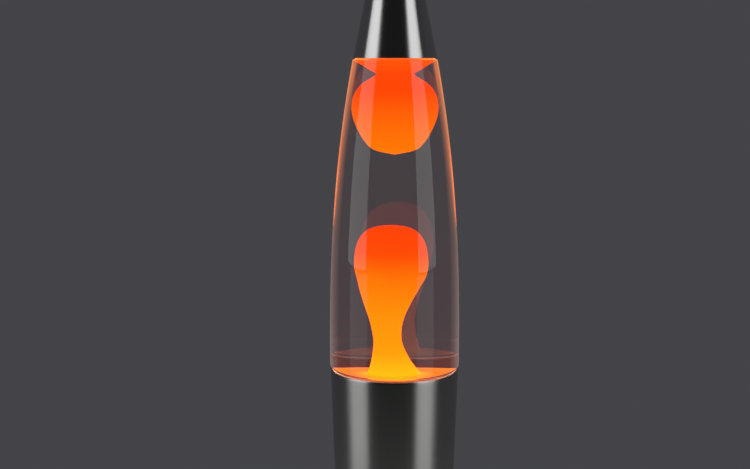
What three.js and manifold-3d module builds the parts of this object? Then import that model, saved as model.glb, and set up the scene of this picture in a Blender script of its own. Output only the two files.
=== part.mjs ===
// A lava lamp, in millimetres, +Z up, standing on Z = 0 with its axis on Z.
//
// A sealed glass bottle holds clear liquid, wax and a wire coil. It stands in a spun aluminium
// base that hides a reflector bulb, and a spun aluminium cap covers the bottle's closure.
// The cap lifts off the bottle, the bottle lifts out of the base, and the bulb unscrews.
import * as THREE from "three";
import { mergeVertices } from "three/addons/utils/BufferGeometryUtils.js";
import Module from "manifold-3d";

const wasm = await Module();
wasm.setup();

// ---------------------------------------------------------------- driving dimensions

const gap = 0.3; // between pieces that touch
const degrees = Math.PI / 180;

// Spun base shell
const baseHeight = 143; // table to the top of the rim
const shellWall = 1.2;
const waistRadius = 36.8;
const waistHeight = 60;
const flareRadius = 95; // of the concave curve from the waist to the foot
const flareAngle = 30;
const cupTaper = 2; // degrees that the cup leans out above the waist
const footRounding = 4;
const rimRolling = 1.6; // outer radius of the rolled rim
const rimLip = 1.7; // how far the rolled rim reaches inwards
const shellBottom = 2.2; // the shell's lower edge above the table

// Bottom plate, feet and fasteners
const footHeight = 2.9;
const footPadRadius = 5.5;
const footInset = 10.8635; // from the shell's inner wall to a foot's axis
const plateThickness = 1.2;
const plateClearance = 0.5; // between the plate's edge and the shell
const lugThickness = 1.2;
const lugWidth = 10;
const lugReach = 9; // from the wall towards the axis
const lugHeight = 9;
const plateScrewInset = 5.2; // from the shell's inner wall to the screw's axis
const plateScrewRadius = 1.45;
const plateScrewLength = 6.2;
const screwHeadRadius = 2.8;
const screwHeadHeight = 1.8;
const ventInner = 20;
const ventOuter = 32;
const ventWidth = 3;
const ventAngles = [38, 54, 126, 142, 218, 234, 250, 290, 306, 322];

// Bottle
const bottleHeight = 189.7; // the visible glass, from the rim to the cap's ledge
const bodyOverhang = 0.4; // how far the glass stands out past the rim
const ledgeRadius = 25.4; // glass at the cap's lower edge
const ogivePower = 2.33; // how late the glass curves in towards the cap
const widestAbove = 10; // the widest point above the rim
const bottleWall = 2.8;
const bottleFloor = 5;
const bottleDepth = 27; // how far the bottle goes down into the base
const heelRounding = 7;
const heelTaper = 1.9;
const bodyCorner = 2.6; // rounding where the body overhangs the rim
const puntRadius = 22;
const puntHeight = 2.5;
const ledgeStep = 1.5; // how far the glass steps in under the cap
const neckHeight = 29.3; // ledge to the top of the finish
const neckRadius = 13.6;
const neckBore = 9.6;
const finishRadius = 13.3;

// Closure
const crownSheet = 0.4;
const crownRadius = 14.4;
const crownFlutes = 21;
const crownSkirt = 6;
const crownFlare = 0.4; // depth of the flutes
const sealThickness = 0.8;

// Liquid and wax
const poolBelowRim = 3.3;
const poolDrop = 7.5; // how far the pool's rounded edge falls at the glass
const liquidAboveLedge = 5.3;

// Wire coil on the bottle's floor
const coilInset = 5.585; // from the edge of the flat floor to the coil's middle line
const coilRadius = 3.6;
const coilWire = 0.6; // radius
const coilTurns = 18;
const coilOpening = 12; // degrees left open between the coil's ends

// Cap
const capHeight = 73;
const capWall = 0.9;
const capRounding = 5;
const capSlope = 11.6; // degrees from upright

// Bottle seat
const seatSheet = 1.2;
const seatBore = 21;
const seatFlange = 8;
const seatWindows = 6;
const seatWindowWidth = 9;
const cushionThickness = 1.2;
const cushionInner = 23.5;
const cushionOuter = 29.5;

// Bulb and lampholder
const bulbLength = 66.5;
const bulbRadius = 19.5;
const bulbGlass = 0.7;
const bulbGap = 16; // bulb to bottle
const threadRadius = 6.9;
const threadDepth = 0.75;
const threadPitch = 2.82;
const threadTurns = 4;
const threadStart = 5; // above the bulb's tip
const threadClearance = 0.35;
const capTube = 21; // the bulb's screw cap, tip to its top edge
const holderRadius = 12.5;
const holderWall = 3.6;
const holderHeight = 30;
const holderFloor = 7.4;
const tipAboveHolder = 9.5; // the bulb's tip above the holder's underside
const nippleRadius = 5;
const nippleBore = 3.6;
const nippleLength = 13.2;
const nippleBelow = 7.5;
const washerThickness = 0.8;
const washerRadius = 8.5;
const nutAcrossFlats = 14;
const nutThickness = 3;
const strapThickness = 1.5;
const strapWidth = 16;
const strapHalfWeb = 15.5;
const strapHalfSpan = 27;
const rivetInset = 5; // from the strap's end
const rivetRadius = 1.7;
const rivetHeadRadius = 3.2;
const rivetHeadHeight = 0.9;

// Wiring inside the base, and the cord's inlet
const leadRadius = 1.2;
const leadSpacing = 9; // between the two cores, and the terminal block's poles
const blockLength = 15; // along the wires
const blockHeight = 11;
const blockPoleWidth = 7.6;
const blockInset = 22; // axis of the lamp to the block's near face
const blockScrewRadius = 1.3;
const clampScrewRadius = 1.8;
const clampScrewLength = 4;
const inletHeight = 24;
const inletRadius = 5.2; // the hole in the shell
const inletBore = 3.6; // through the grommet
const inletFlange = 1.5;

// Facets round a full turn
const wideRound = 28;
const smallRound = 16;
const fineRound = 12;

// ---------------------------------------------------------------- materials

const finish = (color, roughness, metalness, opacity = 1) =>
  new THREE.MeshStandardMaterial({
    color,
    roughness,
    metalness,
    opacity,
    transparent: opacity < 1,
  });
const spunAluminium = finish(0x8f9092, 0.34, 1);
const clearGlass = finish(0xf4f6f6, 0.02, 0, 0.25);
const clearLiquid = finish(0xf3ece8, 0.02, 0, 0.2);
const orangeWax = finish(0xff6a10, 0.35, 0);
const coilSteel = finish(0xb8b8b8, 0.3, 1);
const tinnedSteel = finish(0xc8c6c0, 0.35, 1);
const zincSteel = finish(0xa9abad, 0.45, 1);
const blackSteel = finish(0x1c1c1d, 0.6, 0.2);
const blackRubber = finish(0x161616, 0.9, 0);
const silicone = finish(0xd9d6cf, 0.7, 0);
const porcelain = finish(0xe9e6df, 0.35, 0);
const brass = finish(0xc2a25a, 0.3, 1);
const frostedGlass = finish(0xf3e9d6, 0.35, 0);
const vitrite = finish(0x15120f, 0.25, 0);
const tungsten = finish(0x6d6a66, 0.4, 1);
const nylon = finish(0xe4e2da, 0.5, 0);
const siliconeLead = finish(0xb44a32, 0.6, 0);

// ---------------------------------------------------------------- shape helpers

// A solid of revolution about Z from [radius, height] pairs that start and end on the axis.
function turned(outline, segments = wideRound) {
  const points = outline.map(([r, z]) => new THREE.Vector2(r, z));
  return new THREE.LatheGeometry(points, segments).rotateX(Math.PI / 2);
}

// The same for an outline that never meets the axis, which is closed on itself here.
function ring(outline, segments = wideRound) {
  return turned([...outline, outline[0]], segments);
}

// Points on an arc, its angles in degrees from the outward direction, upwards positive.
function arc(centreR, centreZ, radius, from, to, steps) {
  return Array.from({ length: steps + 1 }, (_, i) => {
    const angle = (from + ((to - from) * i) / steps) * degrees;
    return [centreR + radius * Math.cos(angle), centreZ + radius * Math.sin(angle)];
  });
}

// A smooth curve through a few points, as that many points.
function smooth(points, count) {
  const curve = new THREE.CatmullRomCurve3(
    points.map(([r, z]) => new THREE.Vector3(r, z, 0)),
    false,
    "centripetal",
  );
  return curve.getPoints(count).map((p) => [p.x < 1e-6 ? 0 : p.x, p.y]);
}

// The outline moved to its left-hand side, with mitred corners. Points on the axis stay on it.
function offset(outline, distance) {
  const normal = ([r0, z0], [r1, z1]) => {
    const length = Math.hypot(r1 - r0, z1 - z0);
    return [-(z1 - z0) / length, (r1 - r0) / length];
  };
  return outline.map(([r, z], i) => {
    const before = i > 0 ? normal(outline[i - 1], outline[i]) : null;
    const after = i < outline.length - 1 ? normal(outline[i], outline[i + 1]) : null;
    const a = before ?? after;
    const b = after ?? before;
    const share = distance / (1 + a[0] * b[0] + a[1] * b[1]);
    const moved = [r + (a[0] + b[0]) * share, z + (a[1] + b[1]) * share];
    return r === 0 ? [0, moved[1]] : moved;
  });
}

// The outline's radius at a height, where the outline rises or falls all the way.
function radiusAt(outline, height) {
  const i = outline.findIndex(
    ([, z], k) => k > 0 && (z - height) * (outline[k - 1][1] - height) <= 0,
  );
  const [r0, z0] = outline[i - 1];
  const [r1, z1] = outline[i];
  return r0 + ((r1 - r0) * (height - z0)) / (z1 - z0);
}

// An upright cylinder, or a cone, from one height to another.
function rod(radius, from, to, segments = smallRound, topRadius = radius) {
  return turned([[0, from], [radius, from], [topRadius, to], [0, to]], segments);
}

// A box between two corners.
function block([x0, y0, z0], [x1, y1, z1]) {
  return new THREE.BoxGeometry(x1 - x0, y1 - y0, z1 - z0).translate(
    (x0 + x1) / 2,
    (y0 + y1) / 2,
    (z0 + z1) / 2,
  );
}

// A prism along Y, centred on Y = 0, from an outline of [x, z] pairs that runs anticlockwise.
function prism(outline, width) {
  const shape = new THREE.Shape(outline.map(([x, z]) => new THREE.Vector2(x, z)));
  return new THREE.ExtrudeGeometry(shape, { depth: width, bevelEnabled: false })
    .translate(0, 0, -width / 2)
    .rotateX(Math.PI / 2);
}

// A bent strip along Y: its centre line of [x, z] pairs given a thickness.
function strip(line, thickness, width) {
  const left = offset(line, thickness / 2);
  const right = offset(line, -thickness / 2);
  return prism([...right, ...left.reverse()], width);
}

// A round wire or cable along a list of points.
function wire(points, radius, steps, sides) {
  const section = new THREE.Shape().setFromPoints(
    Array.from({ length: sides }, (_, i) => {
      const angle = (i / sides) * 2 * Math.PI;
      return new THREE.Vector2(radius * Math.cos(angle), radius * Math.sin(angle));
    }),
  );
  const path = new THREE.CatmullRomCurve3(points.map((p) => new THREE.Vector3(...p)));
  return new THREE.ExtrudeGeometry(section, { steps, extrudePath: path, bevelEnabled: false });
}

// Geometry to a manifold solid and back, for the cuts and joins.
function solid(geometry) {
  const bare = geometry.index ? geometry.toNonIndexed() : geometry.clone();
  bare.deleteAttribute("normal");
  bare.deleteAttribute("uv");
  const merged = mergeVertices(bare, 1e-4);
  return new wasm.Manifold(
    new wasm.Mesh({
      numProp: 3,
      vertProperties: merged.attributes.position.array,
      triVerts: new Uint32Array(merged.index.array),
    }),
  );
}

function geometryOf(shape) {
  const mesh = shape.getMesh();
  return new THREE.BufferGeometry()
    .setAttribute("position", new THREE.BufferAttribute(mesh.vertProperties, 3))
    .setIndex(new THREE.BufferAttribute(mesh.triVerts, 1));
}

const cut = (body, ...tools) =>
  geometryOf(tools.reduce((left, tool) => left.subtract(solid(tool)), solid(body)));
const join = (...bodies) =>
  geometryOf(bodies.slice(1).reduce((sum, body) => sum.add(solid(body)), solid(bodies[0])));
const common = (a, b) => geometryOf(solid(a).intersect(solid(b)));

// ---------------------------------------------------------------- levels shared by the pieces

const plateBottom = footHeight + gap;
const plateTop = plateBottom + plateThickness;
const rimZ = baseHeight;
const ledgeZ = rimZ + bottleHeight;
const bottleBottom = rimZ - bottleDepth;
const cushionTop = bottleBottom - gap;
const seatTop = cushionTop - cushionThickness - gap;
const bulbTip = bottleBottom - bulbGap - bulbLength;
const holderBottom = bulbTip - tipAboveHolder;
const strapTop = holderBottom - gap;
const floorZ = bottleBottom + bottleFloor;
const poolZ = rimZ - poolBelowRim;
const liquidTop = ledgeZ + liquidAboveLedge;
const finishTop = ledgeZ + neckHeight;

// ---------------------------------------------------------------- base shell

// The shell's outer outline, from its lower edge up to the inner edge of the rolled rim.
const flareEnd = -flareAngle;
const flareFoot = [
  waistRadius + flareRadius * (1 - Math.cos(flareAngle * degrees)),
  waistHeight - flareRadius * Math.sin(flareAngle * degrees),
];
const footCentre = [
  flareFoot[0] - footRounding * Math.cos(flareAngle * degrees),
  flareFoot[1] - footRounding * Math.sin(flareAngle * degrees),
];
const footRadius = footCentre[0] + footRounding;
const cupFoot = [
  waistRadius + flareRadius * (1 - Math.cos(cupTaper * degrees)),
  waistHeight + flareRadius * Math.sin(cupTaper * degrees),
];
const rimCentreZ = rimZ - rimRolling;
const rimRadius = cupFoot[0] + (rimCentreZ - cupFoot[1]) * Math.tan(cupTaper * degrees);
const shellOuter = [
  [footRadius, shellBottom],
  ...arc(...footCentre, footRounding, 0, flareAngle, 2).slice(0, -1),
  ...arc(waistRadius + flareRadius, waistHeight, flareRadius, 180 - flareEnd, 180 - cupTaper, 6),
  ...arc(rimRadius - rimRolling, rimCentreZ, rimRolling, 0, 90, 3),
  [rimRadius - rimRolling - (rimLip - rimRolling), rimZ],
];
const shellInner = offset(shellOuter, shellWall);
const rimBore = shellOuter.at(-1)[0];
const bodyRadius = rimRadius + bodyOverhang;

// The hollow inside the shell, shrunk by a distance: a solid that other pieces are trimmed with.
function shellHollow(inset) {
  const wall = offset(shellOuter.slice(0, -2), shellWall + inset);
  return turned([[0, wall[0][1]], ...wall, [0, wall.at(-1)[1]]]);
}

// The grommet's place: on the flare at the back, square to the wall.
const inletSlope = Math.asin((waistHeight - inletHeight) / flareRadius);
const inletWallRadius = waistRadius + flareRadius * (1 - Math.cos(inletSlope)) - shellWall / 2;
const alongInlet = (geometry) =>
  geometry
    .rotateX(-Math.PI / 2 + inletSlope)
    .translate(0, inletWallRadius, inletHeight);

const shellGeometry = cut(
  ring([...shellOuter, ...shellInner.toReversed()]),
  alongInlet(rod(inletRadius, -8, 8)),
);

// The grommet's flanges are flat, so they stand off by the wall's curve and by its facets.
const flangeRadius = inletRadius + 1.2;
const wallSag = flangeRadius ** 2 / (2 * inletWallRadius);
const facetSag = inletWallRadius * (1 - Math.cos(Math.PI / wideRound));
const flangeFace = shellWall / 2 + gap + wallSag + facetSag;
const grommetGeometry = alongInlet(
  ring(
    [
      [inletBore, -flangeFace - inletFlange],
      [flangeRadius, -flangeFace - inletFlange],
      [flangeRadius, -flangeFace],
      [inletRadius - gap, -flangeFace],
      [inletRadius - gap, flangeFace],
      [flangeRadius, flangeFace],
      [flangeRadius - 0.6, flangeFace + inletFlange],
      [inletBore, flangeFace + inletFlange],
    ],
    smallRound,
  ),
);

// ---------------------------------------------------------------- bottom plate and its fasteners

const turnedBy = (geometry, angle) => geometry.rotateZ(angle * degrees);
const innerWallRadius = footRadius - shellWall;
const plateScrewCircle = innerWallRadius - plateScrewInset;
const footCircle = innerWallRadius - footInset;
const lugAngles = [30, 150, 270];
const footAngles = [45, 135, 225, 315];
const lugBottom = plateTop + gap;
const rivetCircle = strapHalfSpan - rivetInset;
const blockMiddle = blockInset + blockLength / 2;

const vent = (angle) =>
  turnedBy(
    block([ventInner, -ventWidth / 2, plateBottom - 1], [ventOuter, ventWidth / 2, plateTop + 1]),
    angle,
  );
const plateHole = (radius, x, y) =>
  rod(radius, plateBottom - 1, plateTop + 1, fineRound).translate(x, y, 0);
const around = (circle, angle) => [
  circle * Math.cos(angle * degrees),
  circle * Math.sin(angle * degrees),
];
const footStem = 1.7;

const plateGeometry = cut(
  rod(innerWallRadius - plateClearance, plateBottom, plateTop, wideRound),
  ...ventAngles.map(vent),
  ...lugAngles.map((a) => plateHole(plateScrewRadius + gap, ...around(plateScrewCircle, a))),
  ...footAngles.map((a) => plateHole(footStem + gap, ...around(footCircle, a))),
  plateHole(rivetRadius + gap, rivetCircle, 0),
  plateHole(rivetRadius + gap, -rivetCircle, 0),
  plateHole(blockScrewRadius + gap, 0, blockMiddle),
);

// A lug is a folded tab: an upright that follows the wall, and a shelf that takes the screw.
function lugGeometry(angle) {
  const near = innerWallRadius - lugReach;
  const far = innerWallRadius + 4;
  const side = lugWidth / 2;
  const upright = block([near, -side, lugBottom], [far, side, lugBottom + lugHeight]);
  const shelf = block([near, -side, lugBottom], [far, side, lugBottom + lugThickness]);
  const wall = cut(shellHollow(gap), shellHollow(gap + lugThickness));
  return cut(
    join(
      common(turnedBy(upright, angle), wall),
      common(turnedBy(shelf, angle), shellHollow(gap)),
    ),
    rod(plateScrewRadius + gap, lugBottom - 1, lugBottom + lugThickness + 1, fineRound).translate(
      ...around(plateScrewCircle, angle),
      0,
    ),
  );
}

// A pan-head screw that points up, its head's top face at height 0, with a cross recess.
function screwGeometry(radius, length, headRadius, headHeight) {
  const body = turned(
    [
      [0, -headHeight],
      [headRadius * 0.7, -headHeight],
      [headRadius, -headHeight * 0.55],
      [headRadius, 0],
      [radius, 0],
      [radius, length - radius],
      [radius * 0.5, length],
      [0, length],
    ],
    fineRound,
  );
  const recess = headRadius * 0.6;
  const bar = headRadius * 0.14;
  return cut(
    body,
    block([-recess, -bar, -headHeight - 1], [recess, bar, -headHeight * 0.4]),
    block([-bar, -recess, -headHeight - 1], [bar, recess, -headHeight * 0.4]),
  );
}

// A push-in rubber foot: a pad, a stem through the plate and a barb above it.
const footGeometry = () =>
  turned(
    [
      [0, 0],
      [footPadRadius - 0.7, 0],
      [footPadRadius, 0.8],
      [footPadRadius, footHeight - 0.6],
      [footPadRadius - 0.6, footHeight],
      [footStem, footHeight],
      [footStem, plateTop + gap],
      [footStem + 0.9, plateTop + gap],
      [footStem * 0.6, plateTop + gap + 2.4],
      [0, plateTop + gap + 2.4],
    ],
    fineRound,
  );

// ---------------------------------------------------------------- bottle seat

const seatOuter = Math.min(
  radiusAt(shellInner, seatTop),
  radiusAt(shellInner, seatTop - seatFlange),
) - gap;
const seatWindowInner = cushionOuter + 1;

function seatGeometry() {
  const pan = ring([
    [seatBore, seatTop - seatFlange / 2],
    [seatBore + seatSheet, seatTop - seatFlange / 2],
    [seatBore + seatSheet, seatTop - seatSheet],
    [seatOuter - seatSheet, seatTop - seatSheet],
    [seatOuter - seatSheet, seatTop - seatFlange],
    [seatOuter, seatTop - seatFlange],
    [seatOuter, seatTop],
    [seatBore, seatTop],
  ]);
  const windows = Array.from({ length: seatWindows }, (_, i) =>
    turnedBy(
      block(
        [seatWindowInner, -seatWindowWidth / 2, seatTop - seatSheet - 1],
        [seatOuter - seatSheet - 1, seatWindowWidth / 2, seatTop + 1],
      ),
      (i * 360) / seatWindows,
    ),
  );
  return cut(pan, ...windows);
}

const cushionGeometry = ring([
  [cushionInner, cushionTop - cushionThickness],
  [cushionOuter, cushionTop - cushionThickness],
  [cushionOuter, cushionTop],
  [cushionInner, cushionTop],
]);

// ---------------------------------------------------------------- bottle

// The glass above the rim: widest near the rim, then curving in late towards the cap's ledge.
const bodyTop = ledgeZ - 0.8;
const widestZ = rimZ + widestAbove;
function bodyRadiusAt(z) {
  const share = Math.max(z - widestZ, 0) / (ledgeZ - widestZ);
  return bodyRadius - (bodyRadius - ledgeRadius) * share ** ogivePower;
}
const bodyOutline = (inset, from, to, steps) =>
  Array.from({ length: steps + 1 }, (_, i) => {
    const z = from + ((to - from) * i) / steps;
    return [bodyRadiusAt(z) - inset, z];
  });

// The part inside the base is narrower: it clears the rim's lip and ends in a rounded heel.
const spigotRadius = rimBore - 2 * gap;
const heelRadius = spigotRadius - heelTaper;
const bodySeat = rimZ + 2 * gap; // underside of the overhanging body
const shoulderRadius = ledgeRadius - ledgeStep;
const bottleOuter = [
  [0, bottleBottom + puntHeight],
  [puntRadius * 0.7, bottleBottom + puntHeight * 0.8],
  [puntRadius, bottleBottom],
  ...arc(heelRadius - heelRounding, bottleBottom + heelRounding, heelRounding, -90, 0, 3),
  [spigotRadius, bodySeat],
  ...arc(bodyRadius - bodyCorner, bodySeat + bodyCorner, bodyCorner, -60, 0, 2),
  ...bodyOutline(0, widestZ, bodyTop, 7),
  [shoulderRadius, ledgeZ],
  [shoulderRadius, ledgeZ + 1.2],
  [shoulderRadius - 1.4, ledgeZ + 4.4],
  [shoulderRadius - 3.7, ledgeZ + 8.9],
  [shoulderRadius - 7.4, ledgeZ + 12.7],
  [neckRadius + 0.8, finishTop - 13],
  [neckRadius, finishTop - 10],
  [neckRadius, finishTop - 7.5],
  [finishRadius - 1.1, finishTop - 6.7],
  [finishRadius - 1.1, finishTop - 5.2],
  [finishRadius, finishTop - 4.4],
  [finishRadius, finishTop - 1],
  [finishRadius - 0.8, finishTop],
];

// The inside, from the middle of the floor up to the mouth.
const innerCorner = heelRounding - 1;
const innerHeel = heelRadius - bottleWall;
const coilRingRadius = innerHeel - innerCorner - coilInset;
const bottleInner = [
  [0, floorZ],
  ...arc(innerHeel - innerCorner, floorZ + innerCorner, innerCorner, -90, 0, 3),
  [spigotRadius - bottleWall, rimZ - 1],
  ...bodyOutline(bottleWall, widestZ + 2, ledgeZ - 1.6, 6),
  [shoulderRadius - bottleWall - 1.3, ledgeZ + 3.2],
  [shoulderRadius - bottleWall - 3.6, ledgeZ + 7.2],
  [shoulderRadius - bottleWall - 7.4, ledgeZ + 10.8],
  [neckBore + 1.4, finishTop - 14.6],
  [neckBore, finishTop - 11],
  [neckBore, finishTop],
];
const bottleGeometry = turned([...bottleOuter, ...bottleInner.toReversed()]);

// ---------------------------------------------------------------- crown cork and its seal

const sealBottom = finishTop + gap;
const crownInnerTop = sealBottom + sealThickness + gap;
const crownTop = crownInnerTop + crownSheet;

// A turned shell whose skirt is pinched into flutes, which fade out towards the top.
function crownGeometry() {
  const outer = [
    [crownRadius, crownTop - crownSkirt],
    [crownRadius - 0.1, crownTop - 2.6],
    [crownRadius - 0.9, crownTop - 0.7],
    [crownRadius - 2.6, crownTop],
    [0, crownTop],
  ];
  const shell = ring([...outer, ...offset(outer, crownSheet).toReversed()], crownFlutes * 2);
  const position = shell.attributes.position;
  for (let i = 0; i < position.count; i++) {
    const [x, y, z] = [position.getX(i), position.getY(i), position.getZ(i)];
    const depth = Math.min(Math.max((crownTop - z - 1) / (crownSkirt - 1), 0), 1);
    const wave = Math.cos(crownFlutes * Math.atan2(x, -y));
    const radius = Math.hypot(x, y);
    const scale = radius > finishRadius ? 1 + (crownFlare * depth * wave) / radius : 1;
    position.setXY(i, x * scale, y * scale);
  }
  return shell;
}

const sealGeometry = rod(finishRadius - 1.6, sealBottom, sealBottom + sealThickness);

// ---------------------------------------------------------------- wax, coil and liquid

// Wax outlines from the bottom up, in [radius, height]: the column's heights are above the rim,
// and the top blob's are below the cap's ledge. The leans are how far each centre strays along X.
const columnOutline = smooth(
  [
    [21, -poolBelowRim],
    [13.8, -3],
    [11.4, -0.9],
    [8.7, 6.8],
    [6.8, 15],
    [6.4, 21.5],
    [7.6, 31],
    [10.6, 41.5],
    [14, 52],
    [16.2, 60],
    [16.7, 67.5],
    [15.6, 76.5],
    [12.6, 83.3],
    [7.6, 87],
    [0, 88.4],
  ],
  17,
).map(([r, z]) => [r, rimZ + z]);
const blobOutline = smooth(
  [
    [0, -58.2],
    [8.8, -55.6],
    [13, -50.4],
    [16.6, -43],
    [18.9, -36],
    [19.4, -29.6],
    [18.2, -23],
    [14.6, -16.8],
    [8.6, -11.8],
    [11.6, -8.6],
    [15.8, -4.5],
    [18.4, -1.4],
    [16.8, liquidAboveLedge],
  ],
  18,
).map(([r, z]) => [r, ledgeZ + z]);
const waxLean = (z) => -3.7 * Math.sin(Math.PI * Math.min(Math.max((z - poolZ) / 70, 0), 0.86));

// Moves each ring of a turned shape sideways, by an amount that depends on its height.
function lean(geometry, amountAt) {
  const position = geometry.attributes.position;
  for (let i = 0; i < position.count; i++) {
    position.setX(i, position.getX(i) + amountAt(position.getZ(i)));
  }
  return geometry;
}

// The pool's top, outwards from the column: level, then rounded down to the glass, which wax
// doesn't wet. The liquid lies over it at a clearance.
const poolEdge = [
  [25.5, 0],
  [28.5, -1.4],
  [31, -3.9],
  [radiusAt(offset(bottleInner, gap), poolZ - poolDrop), -poolDrop],
].map(([r, z]) => [r, poolZ + z]);
const liquidLift = 2.5 * gap;

// The wax column with its pool. The pool's underside has a channel where the coil lies.
const channelHalf = coilRadius + coilWire + 2 * gap;
function columnGeometry() {
  const column = lean(
    turned([[0, poolZ - 4], [columnOutline[0][0], poolZ - 4], ...columnOutline], smallRound),
    waxLean,
  );
  const wall = offset(bottleInner, gap).filter(([, z]) => z < poolZ - poolDrop);
  const pool = turned([...wall, ...poolEdge.toReversed(), [0, poolZ]]);
  const channelTop = floorZ + gap + 2 * channelHalf;
  const channel = ring(
    [
      [coilRingRadius - channelHalf, floorZ - 1],
      [coilRingRadius + channelHalf, floorZ - 1],
      [coilRingRadius + channelHalf, channelTop],
      [coilRingRadius - channelHalf, channelTop],
    ],
  );
  return cut(join(pool, column), channel);
}

const blobGeometry = turned([...blobOutline, [0, liquidTop]], smallRound);

// The coil: a wire wound into a helix, and the helix bent into an open ring on the floor.
function coilGeometry() {
  const stepsPerTurn = 6;
  const height = floorZ + 2 * gap + coilRadius + coilWire;
  const total = coilTurns * stepsPerTurn;
  const points = Array.from({ length: total + 1 }, (_, i) => {
    const along = ((coilOpening / 2 + ((360 - coilOpening) * i) / total) * Math.PI) / 180;
    const turn = (i / stepsPerTurn) * 2 * Math.PI;
    const radius = coilRingRadius + coilRadius * Math.cos(turn);
    return [
      radius * Math.cos(along),
      radius * Math.sin(along),
      height + coilRadius * Math.sin(turn),
    ];
  });
  return wire(points, coilWire, total, 4);
}

// The liquid fills the bottle from the pool to its own level, round the column and the blob.
function liquidGeometry() {
  const lowest = poolEdge.at(-1)[1] + liquidLift;
  const wall = offset(bottleInner, gap).filter(([, z]) => z > lowest && z < liquidTop);
  const lower = radiusAt(offset(bottleInner, gap), lowest);
  const upper = radiusAt(offset(bottleInner, gap), liquidTop);
  const body = turned([
    [0, poolZ + liquidLift],
    ...poolEdge.slice(0, -1).map(([r, z]) => [r, z + liquidLift]),
    [lower, lowest],
    ...wall,
    [upper, liquidTop],
    [0, liquidTop],
  ]);
  const roundColumn = offset(columnOutline, -gap);
  const roundBlob = offset(blobOutline, -gap);
  return cut(
    body,
    lean(
      turned([[0, poolZ - 4], [roundColumn[0][0], poolZ - 4], ...roundColumn], smallRound),
      waxLean,
    ),
    turned(
      [...roundBlob, [roundBlob.at(-1)[0], liquidTop + 2], [0, liquidTop + 2]],
      smallRound,
    ),
  );
}

// ---------------------------------------------------------------- cap

const capBottom = ledgeZ + gap;
const capRim = ledgeRadius;
const capTop = capBottom + capHeight;
const capLean = Math.tan(capSlope * degrees);
const noseCentreZ = capTop - capRounding;
const noseTangent = [
  capRounding * Math.cos(capSlope * degrees),
  capRounding * Math.sin(capSlope * degrees),
];
const noseCentreR = capRim - (noseCentreZ + noseTangent[1] - capBottom) * capLean - noseTangent[0];
const capOuter = [
  [capRim, capBottom],
  ...arc(noseCentreR, noseCentreZ, capRounding, capSlope, 90, 4),
  [0, capTop],
];
const capInner = offset(capOuter, capWall).map(([r, z]) => [r, Math.max(z, capBottom)]);
const capGeometry = ring([...capOuter, ...capInner.toReversed()]);

// ---------------------------------------------------------------- bulb

// A wavy outline for a rolled thread, as rings: radius at a height above the thread's start.
const threadWave = (grow) =>
  Array.from({ length: threadTurns * 2 + 1 }, (_, i) => [
    threadRadius + grow - (i % 2 === 0 ? threadDepth : 0),
    bulbTip + threadStart + (i * threadPitch) / 2,
  ]);
const threadEnd = bulbTip + threadStart + threadTurns * threadPitch;

const bulbCapGeometry = ring(
  [
    [threadRadius - threadDepth - 0.5, bulbTip + 4],
    [threadRadius - threadDepth, bulbTip + 4],
    ...threadWave(0),
    [threadRadius, threadEnd + 1.6],
    [threadRadius + 0.2, bulbTip + capTube],
    [threadRadius - 0.2, bulbTip + capTube],
    [threadRadius - 0.4, threadEnd + 1.6],
    [threadRadius - threadDepth - 0.5, threadEnd],
  ],
  smallRound,
);

const insulatorGeometry = ring(
  [
    [2.6, bulbTip + 0.9],
    [3.2, bulbTip + 0.9],
    [threadRadius - threadDepth - 0.9, bulbTip + 3.7],
    [threadRadius - threadDepth - 0.9, bulbTip + 6],
    [2.6, bulbTip + 6],
  ],
  smallRound,
);

const tipGeometry = turned(
  [
    [0, bulbTip],
    [1.5, bulbTip + 0.2],
    [2.2, bulbTip + 0.8],
    [2.2, bulbTip + 2.4],
    [0, bulbTip + 2.4],
  ],
  fineRound,
);

// The reflector envelope, from its open neck inside the screw cap to the middle of its face.
const envelopeOuter = [
  [threadRadius - threadDepth - 1, bulbTip + 9],
  [threadRadius - threadDepth - 0.9, threadEnd],
  [threadRadius - 0.9, threadEnd + 2.4],
  [threadRadius - 0.6, bulbTip + capTube + 1.4],
  ...smooth(
    [
      [threadRadius + 0.9, bulbTip + capTube + 5],
      [bulbRadius * 0.58, bulbTip + bulbLength * 0.5],
      [bulbRadius * 0.81, bulbTip + bulbLength * 0.615],
      [bulbRadius * 0.95, bulbTip + bulbLength * 0.72],
      [bulbRadius, bulbTip + bulbLength * 0.82],
      [bulbRadius * 0.985, bulbTip + bulbLength * 0.865],
      [bulbRadius * 0.89, bulbTip + bulbLength * 0.915],
      [bulbRadius * 0.66, bulbTip + bulbLength * 0.96],
      [bulbRadius * 0.35, bulbTip + bulbLength * 0.99],
      [0, bulbTip + bulbLength],
    ],
    11,
  ),
];
const envelopeInner = offset(envelopeOuter, bulbGlass);
const envelopeGeometry = turned(
  [envelopeInner[0], ...envelopeOuter, ...envelopeInner.toReversed()],
  smallRound,
);

// The glass stem stands inside the neck, and carries two posts and the filament between them.
const stemTop = bulbTip + bulbLength * 0.42;
const postSpread = 5.5;
const postTop = bulbTip + bulbLength * 0.68;
const filamentWire = 0.35;
const stemGeometry = turned(
  [
    [0, bulbTip + 8.5],
    [3.6, bulbTip + 8.5],
    [3.2, bulbTip + 15],
    [1.6, stemTop - 4],
    [2.2, stemTop],
    [0, stemTop],
  ],
  fineRound,
);
const filamentGeometry = wire(
  [
    [-1.2, 0, stemTop + 2 * gap],
    [-2.2, 0, stemTop + 6],
    [-postSpread, 0, postTop - 1],
    [-postSpread * 0.8, 1.2, postTop],
    [-postSpread * 0.3, 2.6, postTop + 0.8],
    [postSpread * 0.3, 2.6, postTop + 0.8],
    [postSpread * 0.8, 1.2, postTop],
    [postSpread, 0, postTop - 1],
    [2.2, 0, stemTop + 6],
    [1.2, 0, stemTop + 2 * gap],
  ],
  filamentWire,
  36,
  6,
);

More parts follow.
